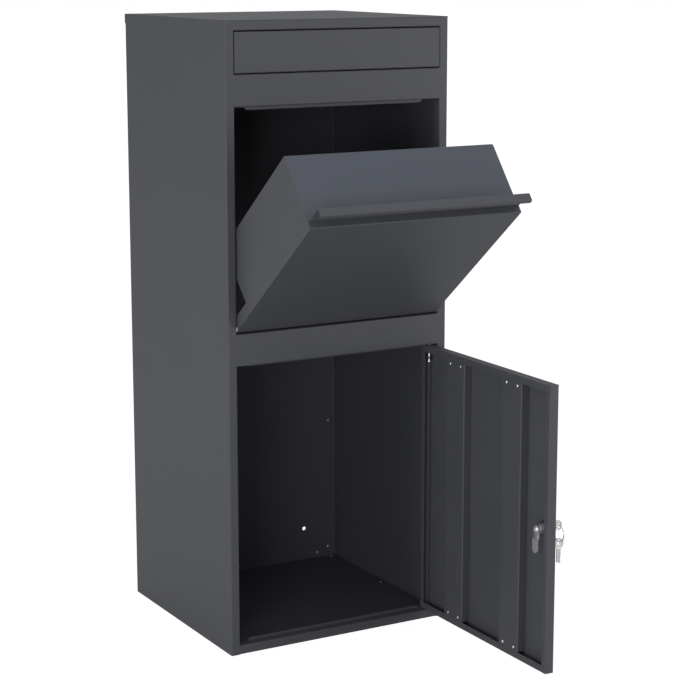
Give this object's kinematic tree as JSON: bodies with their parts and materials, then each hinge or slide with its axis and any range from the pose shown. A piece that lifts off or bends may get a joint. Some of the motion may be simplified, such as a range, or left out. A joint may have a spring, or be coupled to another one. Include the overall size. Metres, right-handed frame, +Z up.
{
  "type": "parcel drop box",
  "caption": "Free-standing sheet steel parcel drop box with a letter flap, a tilting parcel hopper and a locked compartment with a pivoted door.",
  "frame": {"origin": "centre of the cabinet's footprint, on the floor", "axes": "+X right seen from the front, +Y to the back, +Z up"},
  "size_m": [0.4143, 0.7348, 1.02],
  "materials": {
    "cabinet_paint": "anthracite fine-texture powder coat, satin",
    "hopper_paint": "anthracite fine-texture powder coat, satin",
    "door_paint": "anthracite fine-texture powder coat, satin",
    "bright_zinc": "bright zinc plate",
    "washer_nylon": "natural nylon",
    "lock_chrome": "nickel and chrome plate, polished",
    "lock_brass": "nickel-washed brass, satin"
  },
  "bodies": {
    "cabinet": {"side_panel_left": "cabinet_paint", "side_panel_right": "cabinet_paint", "top_panel": "cabinet_paint", "back_panel": "cabinet_paint", "floor_panel": "cabinet_paint", "floor_beam": "cabinet_paint", "base_rail": "cabinet_paint", "lower_rail": "cabinet_paint", "upper_rail": "cabinet_paint", "letter_chute": "cabinet_paint", "back_rivet_set": "bright_zinc", "floor_rivet_set": "bright_zinc", "letter_flap_rod": "bright_zinc", "hopper_pins": "bright_zinc", "hopper_washers": "washer_nylon"},
    "letter_flap": {"letter_flap": "cabinet_paint"},
    "hopper": {"hopper_front": "hopper_paint", "hopper_grip": "hopper_paint", "hopper_top": "hopper_paint", "hopper_side_left": "hopper_paint", "hopper_side_right": "hopper_paint", "hopper_floor": "hopper_paint"},
    "door": {"door_panel": "door_paint", "door_stiffener_hinge": "door_paint", "door_stiffener_lock": "door_paint", "door_rivet_set": "bright_zinc", "door_pin_top": "bright_zinc", "door_pin_bottom": "bright_zinc", "door_pin_bracket": "door_paint", "lock_barrel": "lock_chrome", "lock_nut": "lock_chrome"},
    "lock_plug": {"lock_plug": "lock_brass", "lock_cam": "bright_zinc", "cam_screw": "bright_zinc", "key": "lock_chrome"},
    "key_ring": {"key_ring": "lock_chrome"},
    "spare_key": {"spare_key": "lock_chrome"}
  },
  "joints": [
    {"name": "flap_swing", "type": "hinge", "parent": "cabinet", "child": "letter_flap", "pos_m": [0, -0.1858, 0.998], "axis": [1, 0, 0], "range_deg": [0, 75]},
    {"name": "hopper_tilt", "type": "hinge", "parent": "cabinet", "child": "hopper", "pos_m": [0, -0.185, 0.538], "axis": [1, 0, 0], "range_deg": [-51.4, 0]},
    {"name": "door_hinge", "type": "hinge", "parent": "cabinet", "child": "door", "pos_m": [0.1755, -0.1835, 0.2465], "axis": [0, 0, 1], "range_deg": [-90, 25]},
    {"name": "lock_turn", "type": "hinge", "parent": "door", "child": "lock_plug", "pos_m": [0.182, -0.5215, 0.2465], "axis": [1, 0, 0], "range_deg": [-90, 0]},
    {"name": "ring_swing", "type": "hinge", "parent": "lock_plug", "child": "key_ring", "pos_m": [0.203, -0.5215, 0.2465], "axis": [0, 1, 0], "range_deg": [-60, 10]},
    {"name": "spare_key_swing", "type": "hinge", "parent": "key_ring", "child": "spare_key", "pos_m": [0.203, -0.5215, 0.2205], "axis": [0, 1, 0], "range_deg": [-30, 5]}
  ]
}
